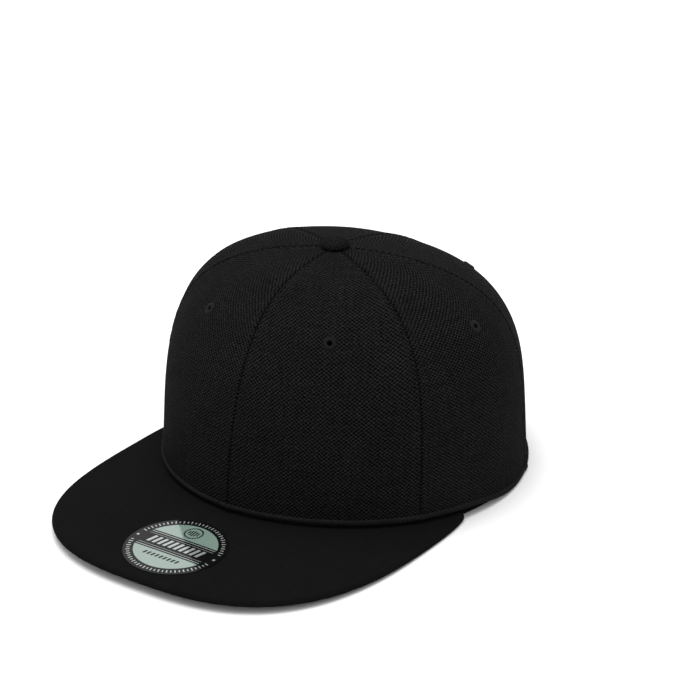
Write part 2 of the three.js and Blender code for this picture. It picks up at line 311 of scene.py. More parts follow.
def crown_point(cap, angle, rise):
    """Points of the crown's outer surface."""
    height, reach = crown_shares(cap.crown, angle, rise)
    point = oval_point(cap.crown, angle) * reach[..., None]
    point[..., 1] -= cap.crown.top_forward * height**cap.crown.forward_power
    foot = foot_height(cap, angle)
    point[..., 2] = foot + (cap.crown.height - foot) * height
    return point


def crown_normal(cap, angle, rise):
    """Outward directions of the crown's surface."""
    around = crown_point(cap, angle + TINY, rise) - crown_point(cap, angle - TINY, rise)
    upper = crown_point(cap, angle, np.minimum(rise + TINY, 1))
    lower = crown_point(cap, angle, np.maximum(rise - TINY, 0))
    return unit(np.cross(around, upper - lower))


def crown_radius(cap, angle, rise):
    """Distances from the crown's leaning axis."""
    at_foot = np.linalg.norm(oval_point(cap.crown, angle), axis=-1)
    return at_foot * crown_shares(cap.crown, angle, rise)[1]


def solve_rise(value, target, shape, halvings=40):
    """The rises at which a rising function reaches its target."""
    low = np.zeros(shape)
    high = np.ones(shape)
    for _ in range(halvings):
        middle = (low + high) / 2
        under = value(middle) < target
        low = np.where(under, middle, low)
        high = np.where(under, high, middle)
    return low


def rise_at_height(cap, angle, height):
    """The rises at which the crown reaches a height."""
    angle = np.asarray(angle, float)
    return solve_rise(lambda rise: crown_point(cap, angle, rise)[..., 2], height, angle.shape)


def seam_angle(cap, name, rise):
    """Angle of a seam, which leans a little on its way up."""
    seam = SEAMS[name]
    foot = np.full(np.shape(rise), math.radians(seam.at_foot))
    up = crown_shares(cap.crown, foot, rise)[0] ** 2
    return foot + (math.radians(seam.at_top) - foot) * up


# Meshes and pieces


def frame_place(points):
    """Points about the crown's centre, moved into the frame."""
    return np.asarray(points, float) + np.array([0, CENTRE_Y, 0])


def placed(name, data):
    """A new object in the scene."""
    item = bpy.data.objects.new(name, data)
    bpy.context.scene.collection.objects.link(item)
    return item


def new_object(name, vertices, faces, weave=None, sharp=60):
    """A smooth-shaded mesh object. Its weave map tells where each vertex lies in the flat cloth."""
    mesh = bpy.data.meshes.new(name)
    mesh.from_pydata(np.asarray(vertices).reshape(-1, 3).tolist(), [], [tuple(face) for face in faces])
    if weave is not None:
        corner_vertices = np.zeros(len(mesh.loops), np.int32)
        mesh.loops.foreach_get("vertex_index", corner_vertices)
        flat = np.asarray(weave, np.float32).reshape(-1, 2)[corner_vertices]
        mesh.uv_layers.new(name="weave").data.foreach_set("uv", flat.reshape(-1))
    mesh.shade_smooth()
    mesh.set_sharp_from_angle(angle=math.radians(sharp))
    mesh.update()
    return placed(name, mesh)


def loft(name, loops, endless=False, weave=None, sharp=60):
    """A closed mesh swept through loops of points. A loop runs along one face of the piece and back
    along the other, so an open sweep is capped between the two."""
    loops = np.asarray(loops, float)
    stations, count, _ = loops.shape
    spans = stations if endless else stations - 1
    station, i = np.meshgrid(np.arange(spans), np.arange(count), indexing="ij")
    here = station * count
    there = (station + 1) % stations * count
    j = (i + 1) % count
    faces = [np.stack([here + i, here + j, there + j, there + i], -1).reshape(-1, 4)]
    if not endless:
        k = np.arange(count // 2 - 1)
        back = count - 1 - k
        end = (stations - 1) * count
        faces.append(np.stack([k + 1, k, back, back - 1], -1))
        faces.append(np.stack([end + k, end + k + 1, end + back - 1, end + back], -1))
    faces = np.concatenate(faces)
    corners = loops.reshape(-1, 3)[faces]
    volume = np.einsum("ij,ij->", np.cross(corners[:, 0], corners[:, 1]), corners[:, 2])
    volume += np.einsum("ij,ij->", np.cross(corners[:, 0], corners[:, 2]), corners[:, 3])
    if volume < 0:
        faces = faces[:, ::-1]
    return new_object(name, loops, faces.tolist(), weave, sharp)


def finish_piece(piece, material, slot, *nodes):
    """Gives a piece its material and its body, and hides the nodes that it stands for. The slot is not
    used.
    """
    piece.data.materials.append(material)
    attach(piece, BODY)
    if nodes:
        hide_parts(*nodes)
    return piece


def tiled(template_vertices, template_faces, places):
    """Copies of a small shape: each place is a 3 x 4 matrix of its axes and its middle."""
    rotated = np.einsum("pij,vj->pvi", places[:, :, :3], template_vertices)
    vertices = rotated + places[:, None, :, 3]
    count = len(template_vertices)
    faces = (np.arange(len(places))[:, None, None] * count + template_faces[None]).reshape(
        -1, template_faces.shape[1]
    )
    return vertices.reshape(-1, 3), faces


# Materials


def math_node(tree, operation, *values):
    """A Math node whose inputs are sockets or numbers."""
    node = tree.nodes.new("ShaderNodeMath")
    node.operation = operation
    for socket, value in zip(node.inputs, values):
        if isinstance(value, (int, float)):
            socket.default_value = value
        else:
            tree.links.new(value, socket)
    return node.outputs[0]


def mix_colour(tree, factor, first, second):
    """A colour between two others, all given as sockets."""
    node = tree.nodes.new("ShaderNodeMix")
    node.data_type = "RGBA"
    colours = [socket for socket in node.inputs if socket.type == "RGBA"]
    for socket, value in zip((node.inputs[0], *colours), (factor, first, second)):
        tree.links.new(value, socket)
    return next(socket for socket in node.outputs if socket.type == "RGBA")


def scale_colour(tree, colour_socket, factor):
    """A colour made brighter or darker by a factor."""
    node = tree.nodes.new("ShaderNodeVectorMath")
    node.operation = "SCALE"
    tree.links.new(colour_socket, node.inputs[0])
    tree.links.new(factor, node.inputs["Scale"])
    return node.outputs[0]


def between(tree, share, low, high):
    """A number that goes from low to high as a share goes from 0 to 1."""
    return math_node(tree, "MULTIPLY_ADD", share, high - low, low)


# Noise in the surfaces: its cells for each metre, its layers and how strong the finer ones are.
Grain = namedtuple("Grain", "Scale Detail Roughness", defaults=(2.0, 0.5))
YARN_DRIFT = Grain(420)
YARN_TONE = Grain(800)
SPECKS = Grain(900, 2, 0.6)
PATCHES = Grain(40, 3, 0.6)
STRANDS = Grain(2600, 3, 0.65)
FIBRES = Grain(1500, 2, 0.6)
CLOUDS = Grain(90, 3, 0.55)
SMEARS = Grain(420)


def noise(tree, vector, grain):
    """The value of a noise texture at a vector, about 0.5 on average."""
    node = tree.nodes.new("ShaderNodeTexNoise")
    for key, value in grain._asdict().items():
        node.inputs[key].default_value = value
    tree.links.new(vector, node.inputs["Vector"])
    return node.outputs[0]


def stretched(tree, vector, along):
    """A vector scaled by its own factor on each axis."""
    node = tree.nodes.new("ShaderNodeVectorMath")
    node.operation = "MULTIPLY"
    tree.links.new(vector, node.inputs[0])
    node.inputs[1].default_value = along
    return node.outputs[0]


SURFACE_OUTPUTS = (
    ("Color", "NodeSocketColor"),
    ("Roughness", "NodeSocketFloat"),
    ("Height", "NodeSocketFloat"),
)


def surface_group(name, inputs, fill):
    """A node group that gives the colour, roughness and height of a surface, made once."""
    if name in bpy.data.node_groups:
        return bpy.data.node_groups[name]
    tree = bpy.data.node_groups.new(name, "ShaderNodeTree")
    for key, kind in inputs:
        tree.interface.new_socket(name=key, in_out="INPUT", socket_type=kind)
    for key, kind in SURFACE_OUTPUTS:
        tree.interface.new_socket(name=key, in_out="OUTPUT", socket_type=kind)
    start = tree.nodes.new("NodeGroupInput")
    end = tree.nodes.new("NodeGroupOutput")
    for (key, _), socket in zip(SURFACE_OUTPUTS, fill(tree, start.outputs)):
        tree.links.new(socket, end.inputs[key])
    return tree


def fill_woven_cloth(tree, inputs):
    """Yarns that cross over and under each other and differ a little in thickness, with painted shade
    where they dip into the gaps.
    """
    wander = 4.5  # how far the yarns stray, in radians of the weave's wave
    along_yarn = 0.06  # how slowly a tone changes along its yarn
    average = 1.5  # of the mixed tones below
    narrowing = 1.5  # exponent that narrows the raised yarns, and so the lighter part of the colour beside the painted shade of the gaps
    strand_height = 0.35  # as a share of the yarns' height
    place = inputs["Place"]
    split = tree.nodes.new("ShaderNodeSeparateXYZ")
    tree.links.new(place, split.inputs[0])
    along = math_node(tree, "DIVIDE", 2 * math.pi, inputs["Repeat"])
    across = math_node(tree, "DIVIDE", along, inputs["Width"])
    waves = []
    for axis, turns, flip in ((0, across, -1), (1, along, 1)):
        drift = noise(tree, stretched(tree, place, (1, flip, 1)), YARN_DRIFT)
        turned = math_node(tree, "MULTIPLY", split.outputs[axis], turns)
        waves.append(math_node(tree, "SINE", math_node(tree, "MULTIPLY_ADD", drift, wander, turned)))
    bumps = math_node(tree, "MULTIPLY_ADD", math_node(tree, "MULTIPLY", *waves), 0.5, 0.5)
    warp = noise(tree, stretched(tree, place, (1, along_yarn, 1)), YARN_TONE)
    weft = noise(tree, stretched(tree, place, (along_yarn, 1, 1)), YARN_TONE)
    yarns = math_node(tree, "ADD", warp, weft)
    patches = math_node(tree, "ADD", noise(tree, place, SPECKS), noise(tree, place, PATCHES))
    mixed = math_node(tree, "MULTIPLY_ADD", patches, 0.5, yarns)
    departure = math_node(tree, "SUBTRACT", mixed, average)
    tone = math_node(tree, "MULTIPLY_ADD", departure, inputs["Unevenness"], 1.0)
    raised_lit_share = math_node(tree, "POWER", bumps, narrowing)
    # Painted shade: the colour goes from the yarn colour on the raised yarns to the near-black gap
    # colour where they dip, for the shade in the gaps.
    shade = scale_colour(tree, mix_colour(tree, raised_lit_share, inputs["Gap"], inputs["Yarn"]), tone)
    roughness = between(tree, bumps, 0.95, 0.83)
    yarn_height = math_node(tree, "MULTIPLY", bumps, tone)
    strands = noise(tree, place, STRANDS)
    return shade, roughness, math_node(tree, "MULTIPLY_ADD", strands, strand_height, yarn_height)


def fill_thread(tree, inputs):
    """Fine fibres of a twisted thread."""
    fibres = noise(tree, inputs["Place"], FIBRES)
    shade = scale_colour(tree, inputs["Tint"], between(tree, fibres, 0.5, 1.5))
    return shade, between(tree, fibres, 0.45, 0.75), fibres


def fill_film(tree, inputs):
    """Printed film, a little uneven where it was pressed down."""
    clouds = noise(tree, inputs["Place"], CLOUDS)
    smears = noise(tree, inputs["Place"], SMEARS)
    shade = scale_colour(tree, inputs["Tint"], between(tree, clouds, 0.9, 1.1))
    return shade, between(tree, smears, 0.05, 0.11), clouds


def base_material(name):
    """A new material, with its node tree and its Principled shader."""
    material = bpy.data.materials.new(name)
    material.use_nodes = True
    tree = material.node_tree
    shader = next(node for node in tree.nodes if node.type == "BSDF_PRINCIPLED")
    return material, tree, shader


def weave_place(tree):
    """Where a point lies in the flat cloth."""
    node = tree.nodes.new("ShaderNodeUVMap")
    node.uv_map = "weave"
    return node.outputs["UV"]


def object_place(tree):
    """Where a point lies in its object."""
    return tree.nodes.new("ShaderNodeTexCoord").outputs["Object"]


def surface_material(name, group, place, relief, values, finish):
    """A material with the colour, roughness and bumps of a surface group, and its own fixed finish."""
    material, tree, shader = base_material(name)
    surface = tree.nodes.new("ShaderNodeGroup")
    surface.node_tree = group
    tree.links.new(place(tree), surface.inputs["Place"])
    for key, value in values.items():
        surface.inputs[key].default_value = value
    bump = tree.nodes.new("ShaderNodeBump")
    bump.inputs["Distance"].default_value = relief
    tree.links.new(surface.outputs["Height"], bump.inputs["Height"])
    tree.links.new(bump.outputs[0], shader.inputs["Normal"])
    tree.links.new(surface.outputs["Color"], shader.inputs["Base Color"])
    tree.links.new(surface.outputs["Roughness"], shader.inputs["Roughness"])
    for key, value in finish.items():
        shader.inputs[key].default_value = value
    return material


def cloth_material(name, yarn, gap_shade, repeat, width=1.0, *, relief, unevenness):
    """Matte woven cloth, drawn by the mesh's own weave map, with painted shade in the gaps between its
    yarns.
    """
    group = surface_group(
        "Woven cloth",
        (
            ("Place", "NodeSocketVector"),
            ("Repeat", "NodeSocketFloat"),
            ("Width", "NodeSocketFloat"),
            ("Yarn", "NodeSocketColor"),
            ("Gap", "NodeSocketColor"),
            ("Unevenness", "NodeSocketFloat"),
        ),
        fill_woven_cloth,
    )
    values = {
        "Repeat": repeat,
        "Width": width,
        "Yarn": (*yarn, 1),
        "Gap": (*gap_shade, 1),
        "Unevenness": unevenness,
    }
    finish = {"Specular IOR Level": 0.01, "Sheen Weight": 0.003, "Sheen Roughness": 0.45}
    return surface_material(name, group, weave_place, relief, values, finish)


TINTED_INPUTS = (("Place", "NodeSocketVector"), ("Tint", "NodeSocketColor"))


def thread_material(name, tint):
    """Twisted black thread with a faint satin gloss."""
    group = surface_group("Twisted thread", TINTED_INPUTS, fill_thread)
    relief = 0.03 * MM
    finish = {"Specular IOR Level": 0.1}
    return surface_material(name, group, object_place, relief, {"Tint": (*tint, 1)}, finish)


def film_material(name, tint, finish):
    """Smooth printed film."""
    group = surface_group("Pressed film", TINTED_INPUTS, fill_film)
    relief = 0.01 * MM
    return surface_material(name, group, object_place, relief, {"Tint": (*tint, 1)}, finish)


def cap_materials():
    """The materials of all pieces, made once."""
    ready = {m.name: m for m in bpy.data.materials if m.get("cap_finish")}
    if ready:
        return ready
    tones = bpy.context.scene.cap.colours
    # Painted shade: each cloth's gap colour darkens the gaps between its yarns for the shade that falls
    # there.
    gap_shade = tones.cloth_gap
    panel_weave = (gap_shade, tones.weave, tones.weave_width)
    # Painted highlight: the hem's yarn is 1.5 times as light as the panels' cloth, for the light that
    # the rolled hem catches.
    hem = [1.5 * c for c in tones.cloth]
    hem_weave = (gap_shade, 0.7 * tones.weave)
    # Painted shade: the brim's gaps are three quarters as light as its yarn.
    brim_weave = ([0.75 * c for c in tones.brim], tones.brim_weave)
    band_weave = (gap_shade, 1.0 * MM)
    lacquer = {"Coat Weight": 1.0, "Coat IOR": 2.0, "Coat Roughness": 0.06}
    green = {"Specular IOR Level": 0.8, **lacquer}
    pale = {"Metallic": 0.3, "Specular IOR Level": 1.0, **lacquer}
    made = [
        cloth_material("Panel weave", tones.cloth, *panel_weave, relief=0.28 * MM, unevenness=0.9),
        cloth_material("Hem weave", hem, *hem_weave, relief=0.2 * MM, unevenness=0.9),
        cloth_material("Brim weave", tones.brim, *brim_weave, relief=0.06 * MM, unevenness=0.35),
        cloth_material("Band weave", tones.band, *band_weave, relief=0.08 * MM, unevenness=0.6),
        thread_material("Seam stitches", tones.thread),
        thread_material("Eyelet stitches", tones.eyelet),
        film_material("Dark film", tones.film, {"Specular IOR Level": 0.22}),
        film_material("Green foil", tones.foil, green),
        film_material("Pale foil", tones.pale_foil, pale),
    ]
    for material in made:
        material["cap_finish"] = True
    return {material.name: material for material in made}


# Crown


def soft_waves(points, height):
    """Small, wide waves in the cloth, so that no panel is perfectly even."""
    # Their rates are in radians for each millimetre, and differ so that they never line up.
    x, y, z = (points[..., i] / MM for i in range(3))
    first = np.sin(0.071 * x + 0.048 * z + 0.6) * np.sin(0.057 * y - 0.034 * z + 1.9)
    second = np.sin(0.112 * y + 0.083 * z) * np.sin(0.095 * x - 0.061 * y + 0.8)
    return height * (0.7 * first + 0.3 * second)


class PanelSheet:
    """The outer surface of one crown panel, in rows of equal steps from its foot to the top."""

    GUIDES = 9
    SAMPLES = 200
    TOP_HOLE = 2.2 * MM  # radius of the hole under the button
    FOOT = 0.85  # how high the cloth starts behind the hem, as a share of its height
    CALM = 12 * MM  # distance from a seam at which the soft waves are full

    def __init__(self, cap, panel, rows):
        self.cap = cap
        self.panel = panel
        self.shares = np.linspace(0, 1, self.GUIDES)
        self.rises = np.stack([self.guide_rises(share, rows) for share in self.shares], 1)
        middle = self.rises[:, self.GUIDES // 2]
        edge_points = [self.surface(np.full(rows, s), middle) for s in self.shares]
        steps = [np.linalg.norm(b - a, axis=-1) for a, b in zip(edge_points, edge_points[1:])]
        self.width = np.sum(steps, 0)
        self.run = run_along(edge_points[self.GUIDES // 2])

    def angle(self, share, rise):
        """Angle round from the front at a share of the way between the panel's two seams."""
        start = seam_angle(self.cap, self.panel.start, rise)
        end = seam_angle(self.cap, self.panel.end, rise)
        return start + (end - start) * share

    def surface(self, share, rise):
        """Points of the crown at shares and rises."""
        return crown_point(self.cap, self.angle(share, rise), rise)

    def guide_rises(self, share, rows):
        """Rises at equal steps along the crown, from the hem to the hole under the button."""
        foot = self.angle(share, np.zeros(1))
        start_height = foot_height(self.cap, foot) + self.FOOT * self.cap.crown.hem_height
        low = rise_at_height(self.cap, foot, start_height)[0]

        def closeness(rise):
            return -crown_radius(self.cap, self.angle(share, rise), rise)

        high = solve_rise(closeness, -self.TOP_HOLE, (1,))[0]
        rise = low + (high - low) * np.linspace(0, 1, self.SAMPLES)
        run = run_along(self.surface(np.full(self.SAMPLES, share), rise))
        return np.interp(np.linspace(0, run[-1], rows), run, rise)

    def place(self, across):
        """Points, normals, distances from the nearest seam and runs, for rows of distances across."""
        share = np.clip(across / self.width[:, None], 0, 1)
        rise = np.stack([np.interp(s, self.shares, r) for s, r in zip(share, self.rises)])
        angle = self.angle(share, rise)
        points = crown_point(self.cap, angle, rise)
        normals = crown_normal(self.cap, angle, rise)
        near = np.minimum(across, self.width[:, None] - across)
        run = np.broadcast_to(self.run[:, None], across.shape)
        return points, normals, near, run

    def dressed(self, across):
        """Points of the cloth with its seams, ripples and soft waves, and the place in the weave."""
        points, normals, near, run = self.place(across)
        lift = seam_relief(self.cap.sewing, near, run)
        lift += soft_waves(points, self.cap.sewing.wave) * smooth_step(near, 0, self.CALM)
        weave = np.stack([across - self.width[:, None] / 2, run], -1)
        return points + normals * lift[..., None], normals, weave


def seam_relief(sewing, near, run):
    """How far the cloth stands up near a seam, at distances from it and along it."""
    fold_end = sewing.fold_width
    crease = -sewing.groove_depth * bell(near, 0, sewing.groove_width)
    roll = sewing.roll_height * bell(near, sewing.roll_distance, sewing.roll_width)
    fold = sewing.fold_height * (1 - smooth_step(near, fold_end - MM, fold_end + MM))
    turn = 2 * math.pi * run
    pull = bell(near, sewing.row_distance, sewing.row_width)
    stitch_dips = -sewing.row_depth * pull * (0.6 + 0.4 * np.cos(turn / sewing.pitch))
    uneven = np.sin(turn / sewing.ripple + 1.3 * np.sin(turn / (5.3 * sewing.ripple)))
    fading = bell(near, 0, sewing.pucker_reach) * smooth_step(near, 0, sewing.roll_distance)
    return crease + roll + fold + stitch_dips + sewing.pucker * uneven * fading


# Distances from a seam at which a panel has columns, in millimetres.
SEAM_COLUMNS = (
    0, 0.2, 0.45, 0.75, 1.1, 1.5, 2.0, 2.5, 2.8, 3.1, 3.4, 3.8, 4.4, 5.2, 5.8, 6.4, 7.2, 8.2,
)
SEAM_SHARE = 0.42  # the most of a panel's width that the columns beside one seam take up
PANEL_ROWS = 132
MIDDLE_COLUMNS = 34


def panel_columns(width):
    """Distances across a panel, close together near its two seams."""
    edge = np.array(SEAM_COLUMNS) * MM
    squeeze = np.minimum(1, SEAM_SHARE * width[:, None] / edge[-1])
    left = edge[None] * squeeze
    share = np.linspace(0, 1, MIDDLE_COLUMNS + 2)[None, 1:-1]
    inner = left[:, -1:] + (width[:, None] - 2 * left[:, -1:]) * share
    return np.concatenate([left, inner, (width[:, None] - left)[:, ::-1]], 1)


def eyelet_seat(cap, panel, sign):
    """Middle and outward direction of an eyelet."""
    angle = np.array([math.radians(panel.eyelet_angle)])
    rise = rise_at_height(cap, angle, panel.eyelet_height)
    mirror = np.array([sign, 1, 1])
    return crown_point(cap, angle, rise)[0] * mirror, crown_normal(cap, angle, rise)[0] * mirror


def cut_hole(piece, middle, normal, radius, reach=8 * MM, sides=32):
    """Cuts a round hole through a piece."""
    turn = Vector(normal).to_track_quat("Z", "Y").to_matrix().to_4x4()
    place = Matrix.Translation(Vector(frame_place(middle))) @ turn
    ring = full_turn(sides)
    circle = np.stack([radius * np.cos(ring), radius * np.sin(ring)], -1)
    vertices = [place @ Vector((*point, z)) for z in (-reach, reach) for point in circle]
    faces = [(i, (i + 1) % sides, sides + (i + 1) % sides, sides + i) for i in range(sides)]
    faces += [tuple(reversed(range(sides))), tuple(range(sides, 2 * sides))]
    mesh = bpy.data.meshes.new("drill")
    mesh.from_pydata(vertices, [], faces)
    drill = placed("drill", mesh)
    cut = piece.modifiers.new("hole", "BOOLEAN")
    cut.operation = "DIFFERENCE"
    cut.solver = "EXACT"
    cut.object = drill
    apply_modifiers(piece)
    bpy.data.objects.remove(drill)


def apply_modifiers(piece):
    """Makes a piece's modifiers part of its mesh."""
    graph = bpy.context.evaluated_depsgraph_get()
    graph.update()
    mesh = bpy.data.meshes.new_from_object(piece.evaluated_get(graph))
    old = piece.data
    piece.modifiers.clear()
    piece.data = mesh
    mesh.name = old.name
    bpy.data.meshes.remove(old)


def make_panel(cap, panel, side):
    """One crown panel: a cloth wall that is creased at its seams, with its eyelet hole."""
    sign = SIDES[side]
    sheet = PanelSheet(cap, panel, PANEL_ROWS)
    outer, normals, weave = sheet.dressed(panel_columns(sheet.width))
    inner = outer - normals * cap.crown.cloth
    both = np.concatenate([outer, inner[::-1]]).transpose(1, 0, 2)
    weaves = np.concatenate([weave, weave[::-1]]).transpose(1, 0, 2)
    both[..., 0] *= sign
    piece = loft(f"cloth_{panel.name}_{side}", frame_place(both), weave=weaves, sharp=70)
    cut_hole(piece, *eyelet_seat(cap, panel, sign), cap.sewing.cloth_hole)
    weave = cap_materials()["Panel weave"]
    return finish_piece(piece, weave, "crown_cloth", f"panel_{panel.name}_{side}")


def stitch_template(stitch, radius):
    """One stitch: a short round thread that bows up in the middle, along X with +Z outward."""
    sides = 6
    rings = np.linspace(-1, 1, 7)
    rise = 0.55 * radius  # how far the middle lies above the ends
    sunk = 0.35 * radius  # how far the ends lie in the cloth
    blunt = 0.06  # square of the share of the thickness that the ends keep
    vertices = []
    for along in rings:
        thick = radius * math.sqrt(max(blunt, 1 - along**4))
        bow = rise * (1 - along**2) - sunk
        for angle in full_turn(sides):
            point = (along * stitch / 2, thick * math.cos(angle), bow + thick * math.sin(angle))
            vertices.append(point)
    faces = []
    for ring in range(0, len(vertices) - sides, sides):
        for i in range(sides):
            j = (i + 1) % sides
            faces.append((ring + i, ring + sides + i, ring + sides + j, ring + j))
    last = len(vertices) - sides
    faces += [(0, 1, 2, 3), (0, 3, 4, 5)]
    faces += [(last + 3, last + 2, last + 1, last), (last + 5, last + 4, last + 3, last)]
    return np.array(vertices), np.array(faces)


def stitch_places(points, normals, pitch):
    """Places of stitches at equal steps along a line on a surface."""
    count = int(run_along(points)[-1] / pitch)
    line = even_points(np.concatenate([points, normals], 1), 2 * count + 1)
    middle = line[1::2]
    along = unit(line[2::2, :3] - line[0:-1:2, :3])
    side = unit(np.cross(middle[:, 3:], along))
    return np.stack([along, side, np.cross(along, side), middle[:, :3]], -1)


def make_topstitching(cap):
    """The rows of stitches on both sides of each crown seam, as one joined piece."""
    sewing = cap.sewing
    narrowest = 3.2 * sewing.row_distance  # panel width at which the rows end below the button
    template, faces = stitch_template(sewing.stitch, sewing.thread)
    places = []
    for panel in PANELS:
        sheet = PanelSheet(cap, panel, PANEL_ROWS)
        shown = sheet.width > narrowest
        near_start = np.full((PANEL_ROWS, 1), sewing.row_distance)
        for across in (near_start, sheet.width[:, None] - near_start):
            points, normals, _ = sheet.dressed(np.maximum(across, 0))
            for sign in SIDES.values():
                mirror = np.array([sign, 1, 1])
                line = frame_place(points[shown, 0] * mirror)
                places.append(stitch_places(line, normals[shown, 0] * mirror, sewing.pitch))
    vertices, all_faces = tiled(template, faces, np.concatenate(places))
    piece = new_object("topstitching", vertices, all_faces.tolist())
    return finish_piece(piece, cap_materials()["Seam stitches"], "eyelet_thread")


def make_hem(cap):
    """The rolled edge round the foot of the crown, thicker where a seam runs into it."""
    crown = cap.crown
    bends = np.linspace(-0.5, 0.5, 15) * math.pi
    sunk = 0.8 * MM  # how far the roll's heart lies behind the crown's surface
    bulge = crown.hem_proud + 0.7 * MM  # how far the roll bulges from its heart
    boxiness = 0.7  # exponent of that bulge, 1 for a plain half oval
    seat = 1.1 * MM  # how far behind the crown's surface the underside is flat
    floor_tuck = 0.4 * MM  # how far the roll stays clear of the floor, behind the brim
    seam_swell = 0.4
    gather_swell = 0.05
    gather_change = 11 * MM  # over which the gathers grow and fade
    askew = 1.4  # how much faster the weave goes up the roll than along it
    angle = full_turn(540)
    foot = foot_height(cap, angle)
    flat = 0 * foot
    run = run_along(oval_point(crown, angle))
    swell = flat
    for seam in SEAMS.values():
        for sign in SIDES.values():
            knot = math.radians(sign * seam.at_foot)
            away = np.abs(np.arctan2(np.sin(angle - knot), np.cos(angle - knot))) * crown.side
            swell = np.maximum(swell, bell(away, 0, cap.sewing.knot))
    gathers = np.sin(2 * math.pi * run / cap.sewing.gather)
    gathers *= 0.7 + 0.3 * np.sin(run / gather_change)
    puff = 1 + seam_swell * swell + gather_swell * gathers
    tuck = floor_tuck + (crown.tuck - floor_tuck) * foot / foot.max()
    heart = (crown.hem_height + tuck) / 2
    loops = []
    weaves = []

    def lay(outward, up):
        loops.append(oval_point(crown, angle, outward) + np.stack([flat, flat, foot + up], -1))
        weaves.append(np.stack([run + askew * up, askew * up - run], -1))

    lay(-crown.cloth, flat)
    lay(-seat, flat)
    for bend in bends:
        outward = bulge * (puff * np.cos(bend) ** boxiness) - sunk
        lay(outward, heart + (crown.hem_height - heart) * math.sin(bend))
    lay(-crown.cloth, crown.hem_height + flat)
    loops = np.stack(loops, 1)
    piece = loft("rolled_hem", frame_place(loops), endless=True, weave=np.stack(weaves, 1), sharp=50)
    # The hem's cloth is a lighter copy of the panels' cloth: a painted highlight.
    return finish_piece(piece, cap_materials()["Hem weave"], "hem_cloth", "crown_hem")


def make_sweatband(cap):
    """The plain band that goes round the head, with a rounded top edge."""
    crown = cap.crown
    clear = crown.cloth + 0.55 * MM  # from the crown's surface to the band's outer face
    off_floor = 0.8 * MM
    edge_round = 0.35 * MM  # how far its two edges are drawn in on both faces
    angle = full_turn(240)
    foot = foot_height(cap, angle)
    low = np.maximum(off_floor, foot - cap.brim.thickness)
    high = foot + crown.band_height
    run = run_along(oval_point(crown, angle))

    def wall(height, inward):
        rise = rise_at_height(cap, angle, np.maximum(height, foot))
        upper = crown_point(cap, angle, rise) - crown_normal(cap, angle, rise) * inward
        lower = oval_point(crown, angle, -inward)
        point = np.where((height > foot)[:, None], upper, lower)
        point[:, 2] = height
        return point

    shares = np.linspace(0, 1, 9)
    loops = []
    weaves = []
    for inward, order in ((clear, shares), (clear + crown.band_cloth, shares[::-1])):
        for share in order:
            rounding = edge_round * (share in (0, 1))
            depth = inward + (rounding if inward == clear else -rounding)
            height = low + (high - low) * share
            loops.append(wall(height, depth))
            weaves.append(np.stack([run, height], -1))
    loops = np.stack(loops, 1)
    piece = loft("head_band", frame_place(loops), endless=True, weave=np.stack(weaves, 1), sharp=50)
    return finish_piece(piece, cap_materials()["Band weave"], "band_cloth", "sweatband")


# Rings of the button from its top down: how far out, as a share of its radius, and how far up, as a
# share of its height over the crown. The last two are its shank, below the crown's surface.
BUTTON_RINGS = (
    (0.18, 0.995), (0.36, 0.975), (0.52, 0.935), (0.66, 0.87), (0.78, 0.775), (0.88, 0.65), (0.955, 0.5),
    (0.995, 0.34), (1.0, 0.24), (0.985, 0.13), (0.945, 0.04), (0.86, 0.0), (0.25, 0.0), (0.25, -0.62),
)


def make_button(cap):
    """The covered button: a low dome with its cloth gathered under the rim."""
    middle = (button_low + button_high) / 2
    gathers = 17
    gather_depth = 0.012  # as a share of the radius
    gather_at = 0.25  # height at which they are deepest, as a share of the button's
    gather_reach = 0.3
    around = 96
    turn = full_turn(around)
    loops = []
    weaves = []
    for out, up in BUTTON_RINGS:
        depth = gather_depth * bell(up, gather_at, gather_reach)
        reach = out * BUTTON_RADIUS * (1 + depth * np.sin(gathers * turn))
        x = reach * np.cos(turn)
        y = reach * np.sin(turn)
        z = np.full(around, button_high.z - BUTTON_HEIGHT * (1 - up))
        loops.append(np.stack([middle.x + x, middle.y + y, z], -1))
        fall = (1 - up) * BUTTON_HEIGHT / BUTTON_RADIUS
        weaves.append(np.stack([x, y], -1) * (1 + fall))
    shank_low = button_high.z - BUTTON_HEIGHT * (1 - BUTTON_RINGS[-1][1])
    ends = [[middle.x, middle.y, button_high.z], [middle.x, middle.y, shank_low]]
    vertices = np.concatenate([*loops, ends])
    weave = np.concatenate([*weaves, np.zeros((2, 2))])
    last = (len(loops) - 1) * around
    top = last + around
    faces = []
    for i in range(around):
        j = (i + 1) % around
        faces.append((top, i, j))
        faces.append((top + 1, last + j, last + i))
        for ring in range(0, last, around):
            faces.append((ring + i, ring + around + i, ring + around + j, ring + j))
    piece = new_object("covered_button", vertices, faces, weave)
    return finish_piece(piece, cap_materials()["Panel weave"], "crown_cloth", "button")


# Rings of an eyelet, from inside its hole over the threads and back: how far from the hole to the
# rim, as a share, and how high over the cloth, in millimetres.
EYELET_RINGS = (
    (0.0, -2.3), (0.0, -1.0), (0.0, 0.1), (0.06, 0.55), (0.18, 0.82), (0.36, 0.95), (0.56, 0.92),
    (0.75, 0.74), (0.9, 0.44), (1.0, 0.08), (1.0, -0.25), (0.45, -0.25), (0.32, -1.0), (0.32, -2.3),
)
EYELET_THREADS = 30
THREAD_STATIONS = 6
THREAD_RIDGE = 0.13 * MM  # how far a thread stands above the dip beside it


